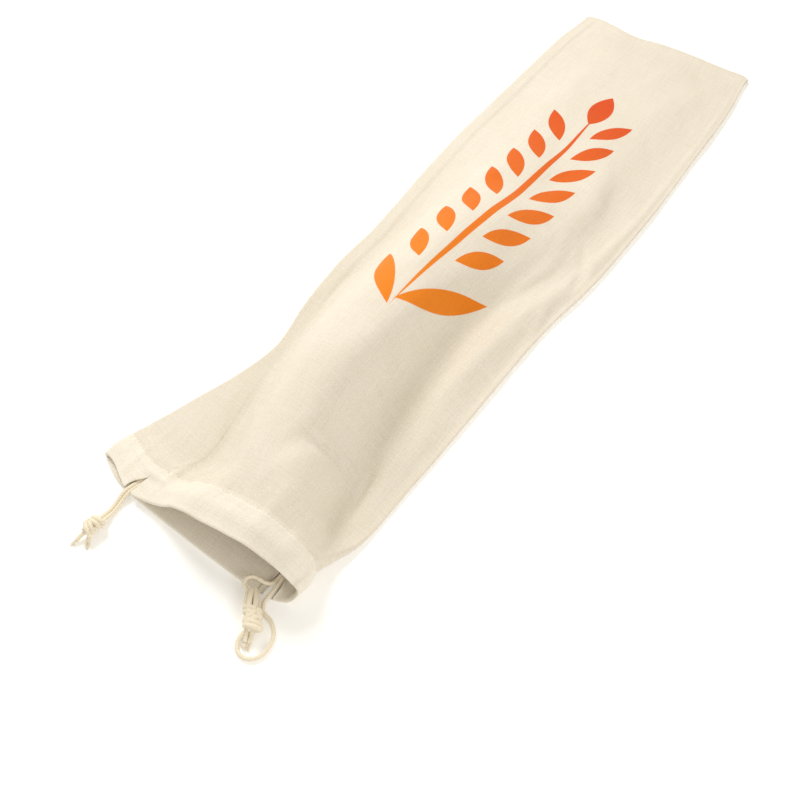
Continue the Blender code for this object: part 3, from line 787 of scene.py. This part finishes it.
def linen_material(name, printed):
    """The cloth, with or without the print on it."""
    material = bpy.data.materials.new(name)
    material.use_nodes = True
    tree = material.node_tree
    tree.nodes.clear()
    cloth_mm = add_node(tree, "UVMap", {"uv_map": "cloth_mm"}).outputs[0]
    place = add_node(tree, "SeparateXYZ", inputs={0: cloth_mm})
    across, along = place.outputs[0], place.outputs[1]

    waver = add_node(tree, "TexNoise", inputs={
        "Vector": cloth_mm, "Scale": WAVER_SCALE, "Detail": 2.0}).outputs["Fac"]
    shift = math_node(tree, "MULTIPLY", waver, WAVER_MM)
    warp = math_node(tree, "SINE", math_node(tree, "MULTIPLY", math_node(tree, "ADD", across, shift),
                                             math.pi / THREAD_MM))
    weft = math_node(tree, "SINE", math_node(tree, "MULTIPLY", math_node(tree, "ADD", along, shift),
                                             math.pi / THREAD_MM))
    weave = math_node(tree, "MULTIPLY_ADD", math_node(tree, "MULTIPLY", warp, weft), 0.5, 0.5)

    slubs = []
    for sizes in ((SLUB_WIDTH_MM, SLUB_LENGTH_MM), (SLUB_LENGTH_MM, SLUB_WIDTH_MM)):
        scaled = add_node(tree, "VectorMath", {"operation": "MULTIPLY"},
                          {0: cloth_mm, 1: (1 / sizes[0], 1 / sizes[1], 1.0)}).outputs[0]
        slubs.append(add_node(tree, "TexNoise", inputs={"Vector": scaled, "Scale": 1.0, "Detail": 3.0,
                                                        "Roughness": 0.6}).outputs["Fac"])
    halves = [math_node(tree, "MULTIPLY", one, 0.5) for one in slubs]
    slub = math_node(tree, "ADD", *halves)
    blotch = add_node(tree, "TexNoise", inputs={
        "Vector": cloth_mm, "Scale": 1 / BLOTCH_MM, "Detail": 2.0}).outputs["Fac"]
    speck = add_node(tree, "TexNoise", inputs={
        "Vector": cloth_mm, "Scale": 1 / SPECK_MM, "Detail": 2.0}).outputs["Fac"]

    tone = math_node(tree, "MULTIPLY_ADD", slub, 2.6, -1.65)
    tone = math_node(tree, "MULTIPLY_ADD", weave, 0.12, tone)
    tone = math_node(tree, "MULTIPLY_ADD", speck, 1.6, tone)
    tone = math_node(tree, "MULTIPLY_ADD", blotch, 0.5, math_node(tree, "SUBTRACT", tone, 0.25))
    cloth_colour = add_node(tree, "Mix", {"data_type": "RGBA", "clamp_factor": True},
                            {0: tone, 6: hex_colour(LINEN_DARK), 7: hex_colour(LINEN_LIGHT)}).outputs[2]
    colour = cloth_colour
    if printed:
        from_middle = math_node(tree, "SUBTRACT", across, EAR_ACROSS_MM)
        from_foot = math_node(tree, "SUBTRACT", along, EAR_FOOT_MM)
        left_side = math_node(tree, "LESS_THAN", from_middle, 0.0)
        climbed = math_node(tree, "MULTIPLY_ADD", left_side, GRAIN_PITCH_MM / 2, from_foot)
        cell = math_node(tree, "MODULO", climbed, GRAIN_PITCH_MM)
        cell = math_node(tree, "SUBTRACT", cell, GRAIN_PITCH_MM / 2)
        out = math_node(tree, "ABSOLUTE", from_middle)
        grain = lens_mask(tree, out, cell, (GRAIN_OUT_MM, 0.0), GRAIN_HALF_MM, GRAIN_WIDE_MM, GRAIN_TILT)
        low = math_node(tree, "GREATER_THAN", climbed, 0.0)
        high = math_node(tree, "LESS_THAN", climbed, GRAIN_PITCH_MM * GRAIN_ROWS)
        grain = math_node(tree, "MULTIPLY", grain, math_node(tree, "MULTIPLY", low, high))
        mask = grain
        for lens in (TOP_GRAIN, RIGHT_LEAF, LEFT_LEAF, STEM):
            mask = math_node(tree, "MAXIMUM", mask, lens_mask(tree, from_middle, from_foot, *lens))
        edge = add_node(tree, "MapRange", {"interpolation_type": "SMOOTHSTEP"},
                        {"Value": mask, "From Min": 0.05, "From Max": 0.65}).outputs[0]
        how_far = add_node(tree, "MapRange", inputs={
            "Value": along, "From Min": INK_FROM_MM, "From Max": INK_TO_MM}).outputs[0]
        ink = add_node(tree, "Mix", {"data_type": "RGBA"},
                       {0: how_far, 6: hex_colour(INK_NEAR), 7: hex_colour(INK_FAR)}).outputs[2]
        grey = math_node(tree, "MULTIPLY_ADD", tone, 0.10, 0.90)
        ink = add_node(tree, "VectorMath", {"operation": "SCALE"}, {0: ink, "Scale": grey}).outputs[0]
        colour = add_node(tree, "Mix", {"data_type": "RGBA"},
                          {0: math_node(tree, "MULTIPLY", edge, 0.99), 6: cloth_colour, 7: ink}).outputs[2]

    relief = math_node(tree, "MULTIPLY_ADD", slub, 1.4, math_node(tree, "MULTIPLY", weave, 0.30))
    relief = math_node(tree, "MULTIPLY_ADD", speck, 0.7, relief)
    bump = add_node(tree, "Bump", inputs={"Strength": 0.55, "Distance": 0.0005, "Height": relief}).outputs[0]
    shader = add_node(tree, "BsdfPrincipled", inputs={
        "Base Color": colour, "Roughness": 0.88, "IOR": 1.5, "Specular IOR Level": 0.25,
        "Sheen Weight": 0.12, "Sheen Roughness": 0.6, "Normal": bump})
    through_tint = add_node(tree, "Mix", {"data_type": "RGBA", "blend_type": "MULTIPLY"},
                            {0: 1.0, 6: colour, 7: hex_colour(LINEN_THROUGH)}).outputs[2]
    through = add_node(tree, "BsdfTranslucent", inputs={"Color": through_tint, "Normal": bump})
    doubled = math_node(tree, "LESS_THAN", along, HEM_DEPTH)
    through_share = math_node(tree, "MULTIPLY_ADD", doubled, THROUGH_DOUBLED - THROUGH_SHARE, THROUGH_SHARE)
    mixed = add_node(tree, "MixShader", inputs={
        0: through_share, 1: shader.outputs[0], 2: through.outputs[0]})
    add_node(tree, "OutputMaterial", inputs={"Surface": mixed.outputs[0]})
    return material


front_rows, front_cloth = panel_grid(0)
front = sheet_piece("front_cloth", front_rows, front_cloth)
plain_linen = linen_material("plain_woven_linen", False)
front.data.materials.append(linen_material("plain_woven_linen_printed", True))
front.data.materials.append(plain_linen)
front.modifiers["cloth thickness"].material_offset = 1
front.modifiers["cloth thickness"].material_offset_rim = 1
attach(front, "root")
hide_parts("front_panel")

# Back panel
# The second length of the same linen, sewn to the front panel down both sides and across the far end. It
# lies flat on the surface, and at the mouth its left side comes up and over as a flat flange.
FLOOR_COLUMNS = 56
FLANGE_COLUMNS = 26
back_rows, back_cloth = panel_grid(1)
back = sheet_piece("back_cloth", back_rows, back_cloth)
back.data.materials.append(plain_linen)
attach(back, "root")
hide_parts("back_panel")

# Casing stitches
# A row of lockstitch in cream cotton thread that holds the turned-in casing down, 25 mm from the rim all
# round the mouth. Each stitch is 2.3 mm long and presses a little way into the cloth.
STITCH_LONG = 2.3
STITCH_PITCH = 3.2
STITCH_ARCH = 0.22
STITCH_ABOVE = 0.02
SEAM_CLEAR = 1.6
FLOOR_CLEAR = 1.5
THREAD_RADIUS = 0.24
THREAD_SIDES = 6
THREAD_CREAM = ("#F6EEDF", "#EADFC9")
THREAD_FIBRE_MM = 0.8


def stitch_mesh(name, stitches):
    """One mesh of short rounded lengths of thread, each from a start to an end, standing off its cloth."""
    mesh = bpy.data.meshes.new(name)
    bm = bmesh.new()
    for start, end, up in stitches:
        way = (end - start).normalized()
        side = way.cross(up).normalized()
        rings = []
        for share, size in ((0.0, 0.35), (0.12, 0.85), (0.5, 1.0), (0.88, 0.85), (1.0, 0.35)):
            centre = start.lerp(end, share) + up * (STITCH_ARCH * math.sin(math.pi * share))
            ring = []
            for k in range(THREAD_SIDES):
                angle = 2 * math.pi * k / THREAD_SIDES
                outwards = side * math.cos(angle) + up * math.sin(angle)
                ring.append(bm.verts.new((centre + outwards * THREAD_RADIUS * size + TO_ROW) * MM))
            rings.append(ring)
        for one, two in zip(rings, rings[1:]):
            for k in range(THREAD_SIDES):
                after = (k + 1) % THREAD_SIDES
                bm.faces.new((one[k], one[after], two[after], two[k]))
        bm.faces.new(rings[0][::-1])
        bm.faces.new(rings[-1])
    bmesh.ops.recalc_face_normals(bm, faces=bm.faces)
    bm.to_mesh(mesh)
    bm.free()
    mesh.shade_smooth()
    piece = bpy.data.objects.new(name, mesh)
    bpy.context.scene.collection.objects.link(piece)
    return piece


def casing_stitches():
    """The stitches of both panels, on the row of points at the casing's edge."""
    plan = row_plan()
    outer = [k for k, row in enumerate(plan) if row.depth == 0]
    at_edge = min(outer, key=lambda k: abs(plan[k].along - HEM_DEPTH))
    stitches = []
    for rows in (front_rows, back_rows):
        line = rows[at_edge][2:-2]
        ways = lengths(line)
        out = -inward(line[:, [0, 2]])
        ups = np.column_stack((out[:, 0], np.zeros(len(line)), out[:, 1]))
        start = SEAM_CLEAR
        while start + STITCH_LONG < ways[-1] - SEAM_CLEAR:
            first, last = (Vector([np.interp(way, ways, line[:, k]) for k in range(3)])
                           for way in (start, start + STITCH_LONG))
            up = Vector([np.interp(start, ways, ups[:, k]) for k in range(3)]).normalized()
            if first.z > FLOOR_CLEAR:
                stitches.append((first + up * STITCH_ABOVE, last + up * STITCH_ABOVE, up))
            start += STITCH_PITCH
    return stitches


seam_stitches = stitch_mesh("casing_stitches", casing_stitches())
seam_stitches.data.materials.append(thread_material("spun_cotton_thread", THREAD_CREAM, THREAD_FIBRE_MM))
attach(seam_stitches, "root")

# Floor and light
# A white paper sweep that glows a little, lit from all round by warm white air. A large soft light at the
# left is the stronger and a weaker one fills the right, so that a faint shadow falls to the right.
FLOOR_WHITE = "#FDFDFD"
FLOOR_GLOW = 0.14
FLOOR_BELOW = 0.0002
FLOOR_HALF = 4.0
AIR_WARM = "#FFF9EC"
AIR_STRENGTH = 0.67
floor_mesh = bpy.data.meshes.new("studio_floor")
bm = bmesh.new()
bmesh.ops.create_grid(bm, x_segments=1, y_segments=1, size=FLOOR_HALF)
bm.to_mesh(floor_mesh)
bm.free()
floor = bpy.data.objects.new("studio_floor", floor_mesh)
bpy.context.scene.collection.objects.link(floor)
floor.location.z = -FLOOR_BELOW
sweep = bpy.data.materials.new("white_sweep_paper")
sweep.use_nodes = True
sweep_shader = sweep.node_tree.nodes["Principled BSDF"]
sweep_shader.inputs["Base Color"].default_value = hex_colour(FLOOR_WHITE)
sweep_shader.inputs["Roughness"].default_value = 0.9
sweep_shader.inputs["Emission Color"].default_value = hex_colour(FLOOR_WHITE)
sweep_shader.inputs["Emission Strength"].default_value = FLOOR_GLOW
sweep_shader.inputs["Specular IOR Level"].default_value = 0.1
floor_mesh.materials.append(sweep)

world = bpy.data.worlds.new("studio_air")
world.use_nodes = True
world.node_tree.nodes["Background"].inputs["Color"].default_value = hex_colour(AIR_WARM)
world.node_tree.nodes["Background"].inputs["Strength"].default_value = AIR_STRENGTH
bpy.context.scene.world = world

Lamp = namedtuple("Lamp", "name place aim size watts")
LAMPS = (
    Lamp("key_softbox", (-0.85, 0.22, 0.95), (0.0, -0.1, 0.0), 0.40, 10.6),
    Lamp("fill_softbox", (1.10, -0.35, 0.75), (0.0, 0.0, 0.0), 0.6, 4.0),
)
for lamp in LAMPS:
    light = bpy.data.lights.new(lamp.name, "AREA")
    light.shape = "SQUARE"
    light.size = lamp.size
    light.energy = lamp.watts
    holder = bpy.data.objects.new(lamp.name, light)
    holder.location = lamp.place
    holder.rotation_mode = "QUATERNION"
    holder.rotation_quaternion = (Vector(lamp.aim) - Vector(lamp.place)).to_track_quat("-Z", "Y")
    bpy.context.scene.collection.objects.link(holder)
bpy.context.scene.view_settings.view_transform = "Standard"

bpy.context.view_layer.update()
